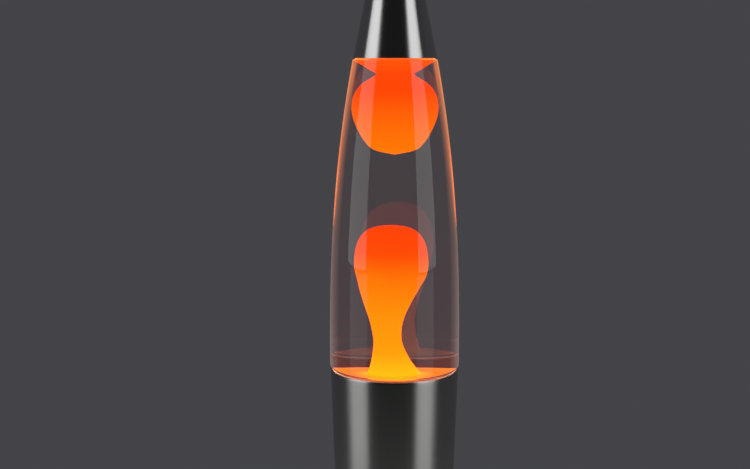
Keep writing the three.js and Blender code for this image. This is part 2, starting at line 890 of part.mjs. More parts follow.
// ---------------------------------------------------------------- lampholder and its bracket

const holderTop = holderBottom + holderHeight;
const holderBore = holderRadius - holderWall;
const holderFloorTop = holderBottom + holderFloor;
const leadEntryZ = holderBottom + 3.8;
const holderBody = ring(
  [
    [nippleRadius + gap, holderBottom],
    [holderRadius, holderBottom],
    [holderRadius, holderTop - 8],
    [holderRadius - 1.4, holderTop - 7],
    [holderRadius - 1.4, holderTop],
    [holderBore, holderTop],
    [holderBore, holderFloorTop],
    [nippleRadius + gap, holderFloorTop],
  ],
  smallRound,
);
const leadHole = (x) =>
  rod(leadRadius + 2 * gap, 0, 9, fineRound)
    .rotateX(-Math.PI / 2)
    .translate(x, holderRadius - 3.6, leadEntryZ);
const holderGeometry = cut(holderBody, leadHole(-leadSpacing / 2), leadHole(leadSpacing / 2));

const socketShellGeometry = ring(
  [
    [holderBore - gap, bulbTip + threadStart],
    [holderBore - gap, threadEnd + 0.6],
    [threadRadius + threadClearance, threadEnd + 0.6],
    ...threadWave(threadClearance).toReversed(),
  ],
  smallRound,
);

const tongueGeometry = strip(
  [
    [-6.4, holderFloorTop + gap + 0.25],
    [-2.4, holderFloorTop + gap + 0.25],
    [1.8, bulbTip - gap - 0.4],
    [3.2, bulbTip - gap - 0.7],
  ],
  0.5,
  4,
);

const nippleGeometry = ring(
  [
    [nippleBore, holderBottom - nippleBelow],
    [nippleRadius, holderBottom - nippleBelow],
    [nippleRadius, holderBottom - nippleBelow + nippleLength],
    [nippleBore, holderBottom - nippleBelow + nippleLength],
  ],
  smallRound,
);
const washerTop = strapTop - strapThickness - gap;
const washerGeometry = ring(
  [
    [nippleRadius + gap, washerTop - washerThickness],
    [washerRadius, washerTop - washerThickness],
    [washerRadius, washerTop],
    [nippleRadius + gap, washerTop],
  ],
  smallRound,
);
const nutTop = washerTop - washerThickness - gap;
const nutCorner = nutAcrossFlats / 2 / Math.cos(30 * degrees);
const nutGeometry = cut(
  rod(nutCorner, nutTop - nutThickness, nutTop, 6),
  rod(nippleRadius + gap, nutTop - nutThickness - 1, nutTop + 1),
);

// The bracket is one strap, folded four times: two feet on the plate, two legs and a web.
const strapFootZ = plateTop + gap + strapThickness / 2;
const strapWebZ = strapTop - strapThickness / 2;
const strapGeometry = cut(
  strip(
    [
      [-strapHalfSpan, strapFootZ],
      [-strapHalfWeb, strapFootZ],
      [-strapHalfWeb, strapWebZ],
      [strapHalfWeb, strapWebZ],
      [strapHalfWeb, strapFootZ],
      [strapHalfSpan, strapFootZ],
    ],
    strapThickness,
    strapWidth,
  ),
  rod(nippleRadius + gap, strapWebZ - 4, strapWebZ + 4),
  rod(rivetRadius + gap, strapFootZ - 3, strapFootZ + 3, fineRound).translate(rivetCircle, 0, 0),
  rod(rivetRadius + gap, strapFootZ - 3, strapFootZ + 3, fineRound).translate(-rivetCircle, 0, 0),
);
const strapFootTop = strapFootZ + strapThickness / 2;
const rivetGeometry = () =>
  turned(
    [
      [0, plateBottom - gap - rivetHeadHeight],
      [rivetHeadRadius * 0.7, plateBottom - gap - rivetHeadHeight],
      [rivetHeadRadius, plateBottom - gap - rivetHeadHeight * 0.4],
      [rivetHeadRadius, plateBottom - gap],
      [rivetRadius, plateBottom - gap],
      [rivetRadius, strapFootTop + gap],
      [rivetHeadRadius * 0.85, strapFootTop + gap],
      [rivetHeadRadius * 0.6, strapFootTop + gap + rivetHeadHeight],
      [0, strapFootTop + gap + rivetHeadHeight],
    ],
    fineRound,
  );

// ---------------------------------------------------------------- terminal block and leads

const blockBottom = plateTop + gap;
const blockTop = blockBottom + blockHeight;
const wireZ = blockBottom + blockHeight * 0.42;
const poles = [-leadSpacing / 2, leadSpacing / 2];
const clampRows = [blockInset + 3.6, blockInset + blockLength - 3.6];
const clampTop = blockTop - 1;

function blockGeometry() {
  const body = block(
    [-leadSpacing / 2 - blockPoleWidth / 2, blockInset, blockBottom],
    [leadSpacing / 2 + blockPoleWidth / 2, blockInset + blockLength, blockBottom + blockHeight * 0.7],
  );
  const towers = poles.map((x) =>
    block(
      [x - blockPoleWidth / 2, blockInset + 0.8, blockBottom],
      [x + blockPoleWidth / 2, blockInset + blockLength - 0.8, blockTop],
    ),
  );
  const wireWays = poles.map((x) =>
    rod(leadRadius + 2 * gap, -1, blockLength + 1, fineRound)
      .rotateX(-Math.PI / 2)
      .translate(x, blockInset, wireZ),
  );
  const clampHoles = poles.flatMap((x) =>
    clampRows.map((y) => rod(clampScrewRadius + gap, wireZ, blockTop + 1, fineRound).translate(x, y, 0)),
  );
  const fixing = rod(blockScrewRadius + gap, blockBottom - 1, blockTop + 1, fineRound);
  const headSink = rod(3, blockBottom + blockHeight * 0.35, blockTop + 1, fineRound);
  return cut(
    join(body, ...towers),
    ...wireWays,
    ...clampHoles,
    fixing.translate(0, blockMiddle, 0),
    headSink.translate(0, blockMiddle, 0),
  );
}

// A slotted grub screw, its top at height 0.
const clampScrewGeometry = () =>
  cut(
    rod(clampScrewRadius, -clampScrewLength, 0, fineRound),
    block([-clampScrewRadius - 1, -0.35, -0.9], [clampScrewRadius + 1, 0.35, 1]),
  );

const blockScrewGeometry = screwGeometry(blockScrewRadius, 6.4, 2.4, 1.5).rotateX(Math.PI);
const blockScrewZ = blockBottom + blockHeight * 0.35 + gap;

// Each lead leaves the holder, loops down and enters the terminal block.
const leadPoints = (x) => [
  [x, holderRadius - 2.6, leadEntryZ],
  [x, holderRadius + 1.5, leadEntryZ],
  [x, holderRadius + 4.4, leadEntryZ - 2.4],
  [x, (holderRadius + blockInset) / 2, (leadEntryZ + wireZ) / 2],
  [x, blockInset - 5.4, wireZ + 3],
  [x, blockInset - 2.6, wireZ + 0.2],
  [x, blockInset + 1, wireZ],
];
const leadGeometry = (x) => wire(leadPoints(x), leadRadius, 24, 8);

// ---------------------------------------------------------------- assembly

function piece(name, geometry, material, [x, y, z] = [0, 0, 0]) {
  const mesh = new THREE.Mesh(geometry, material);
  mesh.name = name;
  mesh.position.set(x, y, z);
  return mesh;
}

const base = new THREE.Group();
base.add(
  piece("base_shell", shellGeometry, spunAluminium),
  piece("cord_grommet", grommetGeometry, blackRubber),
  piece("bottom_plate", plateGeometry, blackSteel),
  piece("bottle_seat", seatGeometry(), zincSteel),
  piece("seat_cushion", cushionGeometry, silicone),
  piece("socket_bracket", strapGeometry, zincSteel),
  piece("lampholder_body", holderGeometry, porcelain),
  piece("lampholder_thread", socketShellGeometry, brass),
  piece("lampholder_contact", tongueGeometry, brass),
  piece("holder_nipple", nippleGeometry, zincSteel),
  piece("holder_washer", washerGeometry, zincSteel),
  piece("holder_nut", nutGeometry, zincSteel),
  piece("terminal_block", blockGeometry(), nylon),
  piece("block_screw", blockScrewGeometry, zincSteel, [0, blockMiddle, blockScrewZ]),
);
lugAngles.forEach((angle, i) => {
  const place = [...around(plateScrewCircle, angle), plateBottom - gap];
  const screw = screwGeometry(plateScrewRadius, plateScrewLength, screwHeadRadius, screwHeadHeight);
  base.add(piece(`plate_lug_${i + 1}`, lugGeometry(angle), zincSteel));
  base.add(piece(`plate_screw_${i + 1}`, screw, zincSteel, place));
});
footAngles.forEach((angle, i) => {
  const place = [...around(footCircle, angle), 0];
  base.add(piece(`rubber_foot_${i + 1}`, footGeometry(), blackRubber, place));
});
[rivetCircle, -rivetCircle].forEach((x, i) => {
  base.add(piece(`bracket_rivet_${i + 1}`, rivetGeometry(), zincSteel, [x, 0, 0]));
});
poles.forEach((x, i) => {
  base.add(piece(`lead_${["neutral", "live"][i]}`, leadGeometry(x), siliconeLead));
  clampRows.forEach((y, k) => {
    const name = `clamp_screw_${2 * i + k + 1}`;
    base.add(piece(name, clampScrewGeometry(), brass, [x, y, clampTop]));
  });
});

const bulb = new THREE.Group();
bulb.add(
  piece("bulb_envelope", envelopeGeometry, frostedGlass),
  piece("bulb_screw_cap", bulbCapGeometry, brass),
  piece("bulb_insulator", insulatorGeometry, vitrite),
  piece("bulb_tip_contact", tipGeometry, tinnedSteel),
  piece("bulb_stem", stemGeometry, clearGlass),
  piece("bulb_filament", filamentGeometry, tungsten),
);

const bottle = new THREE.Group();
bottle.add(
  piece("glass_bottle", bottleGeometry, clearGlass),
  piece("clear_liquid", liquidGeometry(), clearLiquid),
  piece("wax_column", columnGeometry(), orangeWax),
  piece("wax_blob", blobGeometry, orangeWax),
  piece("wire_coil", coilGeometry(), coilSteel),
  piece("crown_cork", crownGeometry(), tinnedSteel),
  piece("crown_seal", sealGeometry, silicone),
);

const cap = new THREE.Group();
cap.add(piece("top_cap", capGeometry, spunAluminium));

const lavaLamp = new THREE.Group();
lavaLamp.add(base, bulb, bottle, cap);

export default lavaLamp;
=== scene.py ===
"""A lit lava lamp: a glass bottle of liquid and wax on a spun aluminium base, under a spun aluminium cap."""

import bmesh
import bpy
import numpy as np
from mathutils import Matrix, Vector


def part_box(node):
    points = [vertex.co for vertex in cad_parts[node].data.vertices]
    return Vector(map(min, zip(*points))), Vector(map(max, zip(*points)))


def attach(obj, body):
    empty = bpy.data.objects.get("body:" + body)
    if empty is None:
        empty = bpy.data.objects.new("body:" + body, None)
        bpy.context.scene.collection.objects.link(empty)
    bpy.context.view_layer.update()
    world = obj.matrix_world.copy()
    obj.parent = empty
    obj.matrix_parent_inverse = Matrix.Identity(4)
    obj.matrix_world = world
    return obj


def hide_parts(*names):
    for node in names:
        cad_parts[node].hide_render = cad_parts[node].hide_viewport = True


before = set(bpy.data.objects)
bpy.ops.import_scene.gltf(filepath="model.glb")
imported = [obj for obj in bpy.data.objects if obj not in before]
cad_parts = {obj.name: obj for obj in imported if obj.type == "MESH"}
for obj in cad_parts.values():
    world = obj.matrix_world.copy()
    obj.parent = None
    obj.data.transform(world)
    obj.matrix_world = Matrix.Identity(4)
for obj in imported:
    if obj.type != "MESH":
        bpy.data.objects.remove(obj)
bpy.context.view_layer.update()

# ---------------------------------------------------------------- base shell
# The hourglass base, one piece of aluminium sheet spun on a lathe. Its rim is rolled inwards, and the
# spinning tool has left fine rings all the way round. The inside is dull and near black, painted shade in the
# cup, so it doesn't mirror the wax.

mm = 0.001
degrees = np.pi / 180
gap = 0.3 * mm
wall = 1.2 * mm
waist = np.array([36.8, 60.0]) * mm
flare_radius = 95 * mm
foot_rounding = 4 * mm
flare_angle = 30
cup_taper = 2
rim_height = 143 * mm
rim_rolling = 1.6 * mm
rim_lip = 1.7 * mm
shell_bottom = 2.2 * mm


def arc(centre, radius, start, end, steps):
    """Points at one radius from a centre, as the angle goes evenly from start to end in degrees."""
    angle = np.linspace(start, end, steps) * degrees
    return np.column_stack([centre[0] + radius * np.cos(angle), centre[1] + radius * np.sin(angle)])


def offset(outline, distance):
    """Each point moved to its left by a distance along the mean normal of the two lines that meet there,
    and further at a corner by one over the cosine of half its turn. Points on the axis stay on it."""
    step = np.diff(outline, axis=0)
    normal = np.column_stack([-step[:, 1], step[:, 0]]) / np.linalg.norm(step, axis=1)[:, None]
    before = np.vstack([normal[:1], normal])
    after = np.vstack([normal, normal[-1:]])
    share = distance / (1 + (before * after).sum(1))
    moved = outline + (before + after) * share[:, None]
    moved[outline[:, 0] == 0, 0] = 0
    return moved


def even(outline, spacing):
    """The same line with points added, so that no two neighbours are further apart than the spacing."""
    length = np.linalg.norm(np.diff(outline, axis=0), axis=1)
    parts = np.maximum(np.ceil(length / spacing).astype(int), 1)
    start = np.repeat(outline[:-1], parts, axis=0)
    step = np.repeat(np.diff(outline, axis=0) / parts[:, None], parts, axis=0)
    count = np.arange(parts.sum()) - np.repeat(np.cumsum(parts) - parts, parts)
    return np.vstack([start + step * count[:, None], outline[-1:]])


def grid_mesh(name, points, closed_profile):
    """A mesh from a grid of points, [along the profile, round the section], joined into quads and
    closed round the section. Points that fall together, as at a pole, become one, and a bare edge
    left along the axis goes."""
    rows, columns, _ = points.shape
    i = np.arange(rows if closed_profile else rows - 1)[:, None]
    j = np.arange(columns)[None, :]
    next_i, next_j = (i + 1) % rows, (j + 1) % columns
    corners = [i * columns + j, i * columns + next_j, next_i * columns + next_j, next_i * columns + j]
    quads = np.stack(np.broadcast_arrays(*corners), axis=-1).reshape(-1, 4)
    mesh = bpy.data.meshes.new(name)
    mesh.from_pydata(points.reshape(-1, 3), [], quads)
    work = bmesh.new()
    work.from_mesh(mesh)
    bmesh.ops.remove_doubles(work, verts=work.verts, dist=1e-6)
    bmesh.ops.dissolve_degenerate(work, edges=work.edges, dist=1e-7)
    bmesh.ops.delete(work, geom=[edge for edge in work.edges if edge.is_wire], context="EDGES")
    work.to_mesh(mesh)
    work.free()
    return mesh


def piece(name, mesh, material, body, slot, *nodes, sharp=35):
    """A mesh as an object on a CAD body, smooth where its faces meet at less than the sharp angle."""
    mesh.shade_smooth()
    mesh.set_sharp_from_angle(angle=sharp * degrees)
    for each in material if isinstance(material, (list, tuple)) else [material]:
        mesh.materials.append(each)
    made = bpy.data.objects.new(name, mesh)
    bpy.context.collection.objects.link(made)
    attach(made, body)
    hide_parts(*nodes)
    return made


def turned(name, outline, sides=160, lean=None):
    """A surface of revolution about Z: radius and height come from the outline, x is radius times the
    cosine of the angle and y radius times its sine, and lean adds to x by height."""
    angle = np.arange(sides) * 2 * np.pi / sides
    x = outline[:, :1] * np.cos(angle)
    y = outline[:, :1] * np.sin(angle)
    z = np.repeat(outline[:, 1:], sides, axis=1)
    if lean is not None:
        x = x + lean[:, None]
    return grid_mesh(name, np.stack([x, y, z], axis=-1), closed_profile=True)


def surface(name, dark, light, rough, metallic=0.0, grain=(60, 60, 60), blotch=25, bump=0.05, **sockets):
    """A Principled material on Object coordinates. A fine noise, stretched by the grain's three scales,
    drives the bump and part of the roughness; a broad one moves the colour between dark and light."""
    made = bpy.data.materials.new(name)
    made.use_nodes = True
    nodes, links = made.node_tree.nodes, made.node_tree.links
    shader = nodes["Principled BSDF"]
    shader.inputs["Metallic"].default_value = metallic
    for socket, value in sockets.items():
        shader.inputs[socket.replace("_", " ")].default_value = value
    place = nodes.new("ShaderNodeTexCoord")
    stretch = nodes.new("ShaderNodeMapping")
    stretch.inputs["Scale"].default_value = grain
    fine = nodes.new("ShaderNodeTexNoise")
    fine.inputs["Scale"].default_value = 10
    fine.inputs["Detail"].default_value = 6
    broad = nodes.new("ShaderNodeTexNoise")
    broad.inputs["Scale"].default_value = blotch
    broad.inputs["Detail"].default_value = 4
    colour = nodes.new("ShaderNodeValToRGB")
    colour.color_ramp.elements[0].position = 0.35
    colour.color_ramp.elements[0].color = (*dark, 1)
    colour.color_ramp.elements[1].position = 0.65
    colour.color_ramp.elements[1].color = (*light, 1)
    both = nodes.new("ShaderNodeMath")
    both.operation = "ADD"
    spread = nodes.new("ShaderNodeMapRange")
    spread.inputs["From Min"].default_value = 0.7
    spread.inputs["From Max"].default_value = 1.3
    spread.inputs["To Min"].default_value = rough[0]
    spread.inputs["To Max"].default_value = rough[1]
    relief = nodes.new("ShaderNodeBump")
    relief.inputs["Strength"].default_value = bump
    relief.inputs["Distance"].default_value = 0.1 * mm
    links.new(place.outputs["Object"], stretch.inputs["Vector"])
    links.new(stretch.outputs["Vector"], fine.inputs["Vector"])
    links.new(place.outputs["Object"], broad.inputs["Vector"])
    links.new(broad.outputs["Fac"], colour.inputs["Fac"])
    links.new(colour.outputs["Color"], shader.inputs["Base Color"])
    links.new(fine.outputs["Fac"], both.inputs[0])
    links.new(broad.outputs["Fac"], both.inputs[1])
    links.new(both.outputs["Value"], spread.inputs["Value"])
    links.new(spread.outputs["Result"], shader.inputs["Roughness"])
    links.new(fine.outputs["Fac"], relief.inputs["Height"])
    links.new(relief.outputs["Normal"], shader.inputs["Normal"])
    return made


def spun(name, rough, spread, dark, light):
    """Spun aluminium: a surface whose reflections spread up and down across its fine rings and stay narrow
    round them. The tangent is the Object position turned a quarter about Z, and rings of noise vary the
    roughness."""
    made = surface(
        name, dark, light, rough, 1.0, grain=(1.5, 1.5, 700), blotch=9, bump=0.05,
        Anisotropic=spread, Anisotropic_Rotation=0.25, Specular_IOR_Level=0.5,
    )
    nodes, links = made.node_tree.nodes, made.node_tree.links
    place = nodes.new("ShaderNodeTexCoord")
    split = nodes.new("ShaderNodeSeparateXYZ")
    minus = nodes.new("ShaderNodeMath")
    minus.operation = "MULTIPLY"
    minus.inputs[1].default_value = -1
    round_axis = nodes.new("ShaderNodeCombineXYZ")
    links.new(place.outputs["Object"], split.inputs["Vector"])
    links.new(split.outputs["Y"], minus.inputs[0])
    links.new(minus.outputs["Value"], round_axis.inputs["X"])
    links.new(split.outputs["X"], round_axis.inputs["Y"])
    links.new(round_axis.outputs["Vector"], nodes["Principled BSDF"].inputs["Tangent"])
    return made


def cut(target, tool_mesh):
    """Takes a tool's volume out of a piece, and leaves no modifier on it."""
    tool = bpy.data.objects.new("cutting_tool", tool_mesh)
    bpy.context.collection.objects.link(tool)
    bite = target.modifiers.new("cut", "BOOLEAN")
    bite.object = tool
    bite.operation = "DIFFERENCE"
    bpy.context.view_layer.update()
    result = bpy.data.meshes.new_from_object(target.evaluated_get(bpy.context.evaluated_depsgraph_get()))
    target.modifiers.clear()
    target.data = result
    work = bmesh.new()
    work.from_mesh(result)
    bmesh.ops.remove_doubles(work, verts=work.verts, dist=5e-6)
    bmesh.ops.dissolve_degenerate(work, edges=work.edges, dist=1e-6)
    bmesh.ops.delete(work, geom=[edge for edge in work.edges if edge.is_wire], context="EDGES")
    work.to_mesh(result)
    work.free()
    bpy.data.objects.remove(tool)


flare_centre = waist + [flare_radius, 0]
to_flare_centre = np.array([np.cos(flare_angle * degrees), np.sin(flare_angle * degrees)])
flare_foot = flare_centre - flare_radius * to_flare_centre
foot_centre = flare_foot - foot_rounding * to_flare_centre
cup_foot = flare_centre + flare_radius * np.array([-np.cos(cup_taper * degrees), np.sin(cup_taper * degrees)])
rim_centre_z = rim_height - rim_rolling
rim_radius = cup_foot[0] + (rim_centre_z - cup_foot[1]) * np.tan(cup_taper * degrees)
rim_bore = rim_radius - rim_lip
shell_outer = np.vstack(
    [
        [[foot_centre[0] + foot_rounding, shell_bottom]],
        arc(foot_centre, foot_rounding, 0, flare_angle, 8)[:-1],
        arc(flare_centre, flare_radius, 180 + flare_angle, 180 - cup_taper, 48),
        arc([rim_radius - rim_rolling, rim_centre_z], rim_rolling, 0, 90, 10),
        [[rim_bore, rim_height]],
    ]
)
shell_inner = offset(shell_outer, wall)
spun_satin = spun("spun_satin", (0.31, 0.37), 0.92, (0.47, 0.47, 0.465), (0.52, 0.52, 0.515))
# Painted shade: the cup's inside is near-black metal, darker than the bare aluminium it is.
painted_shade_inside = surface(
    "painted_shade_inside", (0.030, 0.030, 0.031), (0.045, 0.045, 0.046), (0.55, 0.70), 1.0,
    grain=(2, 2, 300), bump=0.1,
)
shell = piece(
    "spun_base", turned("spun_base", even(np.vstack([shell_outer, shell_inner[::-1]]), 3 * mm), 224),
    [spun_satin, painted_shade_inside], "base", "spun_aluminium", "base_shell",
)


def faces_by(target, inside_line, where, slot=1):
    """Gives a material slot to the faces whose middle is nearer the axis than a line [radius, height], plus
    a hair, and whose height passes the test."""
    polygons = target.data.polygons
    middle = np.empty(len(polygons) * 3)
    polygons.foreach_get("center", middle)
    middle = middle.reshape(-1, 3)
    order = np.argsort(inside_line[:, 1], kind="stable")
    limit = np.interp(middle[:, 2], inside_line[order, 1], inside_line[order, 0])
    chosen = (np.hypot(middle[:, 0], middle[:, 1]) < limit + 0.5 * mm) & where(middle[:, 2])
    slots = np.empty(len(polygons), dtype=np.int32)
    polygons.foreach_get("material_index", slots)
    slots[chosen] = slot
    polygons.foreach_set("material_index", slots)


faces_by(shell, shell_inner, lambda z: z < rim_height + gap)

# ---------------------------------------------------------------- cord grommet
# A black rubber bush at the back of the flare. It is pushed through a hole in the shell, and its two
# flanges hold the wall between them. Its bore is the way in for the mains cord, which isn't fitted.

inlet_height = 24 * mm
inlet_hole = 5.2 * mm
inlet_bore = 3.6 * mm
flange_depth = 1.5 * mm
hole_reach = 8 * mm
inlet_slope = np.arcsin((waist[1] - inlet_height) / flare_radius)
inlet_wall = waist[0] + flare_radius * (1 - np.cos(inlet_slope)) - wall / 2
inlet_turn = Matrix.Rotation(inlet_slope - np.pi / 2, 4, "X")
to_inlet = Matrix.Translation((0, inlet_wall, inlet_height)) @ inlet_turn
flange = inlet_hole + 1.2 * mm
flange_face = (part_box("cord_grommet")[1].x - flange) + wall / 2 + 0.75 * mm
grommet_outline = np.vstack(
    [
        [[inlet_bore, -flange_face - flange_depth + 0.4 * mm]],
        [[inlet_bore + 0.4 * mm, -flange_face - flange_depth]],
        arc([flange - 0.5 * mm, -flange_face - flange_depth + 0.5 * mm], 0.5 * mm, -90, 0, 5),
        [[flange, -flange_face], [inlet_hole - gap, -flange_face]],
        [[inlet_hole - gap, flange_face], [flange, flange_face]],
        arc([flange - 0.8 * mm, flange_face + flange_depth - 0.8 * mm], 0.8 * mm, 0, 90, 6),
        [[inlet_bore + 0.5 * mm, flange_face + flange_depth]],
        [[inlet_bore, flange_face + flange_depth - 0.5 * mm]],
    ]
)
hole_outline = [[0, -hole_reach], [inlet_hole, -hole_reach], [inlet_hole, hole_reach], [0, hole_reach]]
hole = turned("inlet_hole", np.array(hole_outline), 48)
hole.transform(to_inlet)
cut(shell, hole)
black_rubber = surface(
    "black_rubber", (0.012, 0.012, 0.012), (0.022, 0.022, 0.023), (0.55, 0.75), grain=(90, 90, 90), bump=0.25,
)
grommet_mesh = turned("cord_grommet_bush", even(grommet_outline, 0.6 * mm), 64)
grommet_mesh.transform(to_inlet)
piece("cord_grommet_bush", grommet_mesh, black_rubber, "base", "black_rubber", "cord_grommet")

# ---------------------------------------------------------------- rubber feet
# Four soft black pads under the plate. Each is moulded with a stem, which is pushed up through a hole
# until its barb springs out above the plate.

foot_height = 2.9 * mm
plate_top = foot_height + gap + 1.2 * mm
stem = 1.7 * mm
foot_outline = np.vstack(
    [
        [[0, 0]],
        arc([4.7 * mm, 0.8 * mm], 0.8 * mm, -90, 0, 6),
        arc([4.9 * mm, foot_height - 0.6 * mm], 0.6 * mm, 0, 90, 5),
        [[stem, foot_height], [stem, plate_top + gap], [stem + 0.9 * mm, plate_top + gap]],
        [[stem * 0.6, plate_top + gap + 2.4 * mm], [0, plate_top + gap + 2.4 * mm]],
    ]
)
for number in (1, 2, 3, 4):
    low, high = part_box(f"rubber_foot_{number}")
    pad = turned(f"foot_pad_{number}", even(foot_outline, 0.8 * mm), 48)
    pad.transform(Matrix.Translation(((low.x + high.x) / 2, (low.y + high.y) / 2, 0)))
    piece(f"foot_pad_{number}", pad, black_rubber, "base", "black_rubber", f"rubber_foot_{number}")

# ---------------------------------------------------------------- bottom plate, lugs, screws and rivets
# A vented steel disc in black enamel closes the base. Three screws hold it to folded lugs, and two
# rivets fix the bracket to it. The fixings are zinc plated.

black_enamel = surface(
    "black_enamel", (0.010, 0.010, 0.011), (0.020, 0.020, 0.021), (0.28, 0.42), grain=(50, 50, 50), bump=0.15,
    Coat_Weight=0.3,
)
zinc_plate = surface(
    "zinc_plate", (0.42, 0.43, 0.44), (0.56, 0.56, 0.54), (0.28, 0.46), 1.0,
    grain=(40, 40, 40), blotch=160, bump=0.10,
)


def finish_nodes(material, *names):
    """Gives CAD nodes a material in place of their plain one."""
    for name in names:
        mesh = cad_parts[name].data
        mesh.materials.clear()
        mesh.materials.append(material)


finish_nodes(black_enamel, "bottom_plate")
finish_nodes(zinc_plate, *[f"plate_lug_{i}" for i in (1, 2, 3)], *[f"plate_screw_{i}" for i in (1, 2, 3)])
finish_nodes(zinc_plate, "bracket_rivet_1", "bracket_rivet_2", "block_screw")

# ---------------------------------------------------------------- bottle seat and cushion
# A pressed steel ring across the base carries the bottle. Its inner and outer edges are turned down,
# windows round it let the warm air rise, and a silicone ring keeps the glass off the metal.

seat_low, seat_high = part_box("bottle_seat")
seat_outer = seat_high.x
seat_top = seat_high.z
seat_bore = 21 * mm
sheet = 1.2 * mm
fold = 1.0 * mm
inside_fold = 0.3 * mm
turned_down = 4 * mm
seat_outline = np.vstack(
    [
        [[seat_bore, seat_top - turned_down], [seat_bore + sheet, seat_top - turned_down]],
        [[seat_bore + sheet, seat_top - sheet - inside_fold]],
        [[seat_bore + sheet + inside_fold, seat_top - sheet]],
        [[seat_outer - sheet - inside_fold, seat_top - sheet]],
        [[seat_outer - sheet, seat_top - sheet - inside_fold]],
        [[seat_outer - sheet, seat_low.z], [seat_outer, seat_low.z]],
        arc([seat_outer - fold, seat_top - fold], fold, 0, 90, 6),
        arc([seat_bore + fold, seat_top - fold], fold, 90, 180, 6),
    ]
)
seat = piece(
    "pressed_seat", turned("pressed_seat", even(seat_outline, 2 * mm), 144),
    zinc_plate, "base", "zinc_steel", "bottle_seat",
)
window_half_width, window_half_length = 2.2, 4.4
window_circle = 32.8 * mm
# Each window's cutter is a round bar of 1 mm radius, stretched to the window's half width and half length.
for turn in range(6):
    window = turned("seat_window", np.array([[0, -3], [1, -3], [1, 3], [0, 3]]) * mm, 32)
    window.transform(Matrix.Diagonal((window_half_width, window_half_length, 1, 1)))
    place = Matrix.Rotation(turn * np.pi / 3, 4, "Z") @ Matrix.Translation((window_circle, 0, seat_top))
    window.transform(place)
    cut(seat, window)
silicone = surface(
    "silicone", (0.62, 0.60, 0.56), (0.72, 0.70, 0.66), (0.45, 0.62), grain=(70, 70, 70), bump=0.15,
    Subsurface_Weight=0.25, Subsurface_Scale=0.002,
)
cushion_low, cushion_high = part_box("seat_cushion")
cushion_edge = 0.5 * mm
cushion_within, cushion_without = 24.0 * mm, 29.0 * mm
cushion_outline = np.vstack(
    [
        arc([cushion_within, cushion_low.z + cushion_edge], cushion_edge, 180, 270, 5),
        arc([cushion_without, cushion_low.z + cushion_edge], cushion_edge, -90, 0, 5),
        arc([cushion_without, cushion_high.z - cushion_edge], cushion_edge, 0, 90, 5),
        arc([cushion_within, cushion_high.z - cushion_edge], cushion_edge, 90, 180, 5),
    ]
)
piece(
    "silicone_ring", turned("silicone_ring", even(cushion_outline, 1 * mm), 128),
    silicone, "base", "silicone", "seat_cushion",
)

# ---------------------------------------------------------------- lampholder on its bracket
# A glazed porcelain holder stands on a folded steel strap. A threaded tube, a washer and a nut clamp
# it there, and inside it are a brass thread shell and a sprung centre contact.

porcelain = surface(
    "porcelain", (0.70, 0.68, 0.63), (0.80, 0.78, 0.74), (0.10, 0.22),
    grain=(30, 30, 30), bump=0.08, Coat_Weight=0.6,
)
brass_sheet = surface(
    "brass_sheet", (0.55, 0.38, 0.14), (0.68, 0.50, 0.22), (0.20, 0.38), 1.0,
    grain=(40, 40, 200), blotch=120, bump=0.12,
)
holder_low, holder_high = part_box("lampholder_body")
holder_radius = holder_high.x
holder_bore = holder_radius - 3.6 * mm
holder_floor = holder_low.z + 7.4 * mm
tube_hole = 5.3 * mm
holder_outline = np.vstack(
    [
        [[tube_hole, holder_low.z]],
        arc([holder_radius - 1 * mm, holder_low.z + 1 * mm], 1 * mm, -90, 0, 6),
        [[holder_radius, holder_high.z - 8 * mm], [holder_radius - 1.4 * mm, holder_high.z - 7 * mm]],
        arc([holder_radius - 2.2 * mm, holder_high.z - 0.8 * mm], 0.8 * mm, 0, 90, 6),
        arc([holder_bore + 0.6 * mm, holder_high.z - 0.6 * mm], 0.6 * mm, 90, 180, 5),
        [[holder_bore, holder_floor], [tube_hole, holder_floor]],
    ]
)
holder = piece(
    "porcelain_holder", turned("porcelain_holder", even(holder_outline, 2 * mm), 96),
    porcelain, "base", "porcelain", "lampholder_body",
)
lead_spacing = 9 * mm
lead_hole_radius = 1.8 * mm
lead_entry = Vector((0, holder_radius - 3.6 * mm, holder_low.z + 3.8 * mm))
for side in (-1, 1):
    lead_outline = [[0, 0], [lead_hole_radius, 0], [lead_hole_radius, 9 * mm], [0, 9 * mm]]
    lead_hole = turned("lead_hole", np.array(lead_outline), 32)
    to_side = Matrix.Translation(lead_entry + Vector((side * lead_spacing / 2, 0, 0)))
    lead_hole.transform(to_side @ Matrix.Rotation(-np.pi / 2, 4, "X"))
    cut(holder, lead_hole)
finish_nodes(brass_sheet, "lampholder_thread", "lampholder_contact")
finish_nodes(zinc_plate, "socket_bracket", "holder_nipple", "holder_washer", "holder_nut")

# ---------------------------------------------------------------- terminal block and leads
# Two clamps in a moulded nylon block, made to join a cord to two stranded leads. The leads run up to the
# holder in brown-red silicone sleeves that stand the heat of the bulb.

nylon = surface("nylon", (0.66, 0.65, 0.60), (0.74, 0.73, 0.69), (0.38, 0.52), grain=(60, 60, 60), bump=0.15)
lead_sleeve = surface(
    "lead_sleeve", (0.30, 0.055, 0.028), (0.38, 0.075, 0.038), (0.42, 0.60), grain=(80, 80, 80), bump=0.2,
)
finish_nodes(nylon, "terminal_block")
finish_nodes(brass_sheet, *[f"clamp_screw_{i}" for i in (1, 2, 3, 4)])
finish_nodes(lead_sleeve, "lead_neutral", "lead_live")

# ---------------------------------------------------------------- bulb
# A reflector bulb heats and lights the wax. Its blown envelope is frosted on the face, its brass cap is
# rolled with a thread, and black glass keeps the cap from the soldered contact at its tip.

tip_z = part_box("bulb_tip_contact")[0].z
bulb_length = 66.5 * mm
bulb_radius = 19.5 * mm
thread_radius = 6.9 * mm
thread_depth = 0.75 * mm
thread_pitch = 2.82 * mm


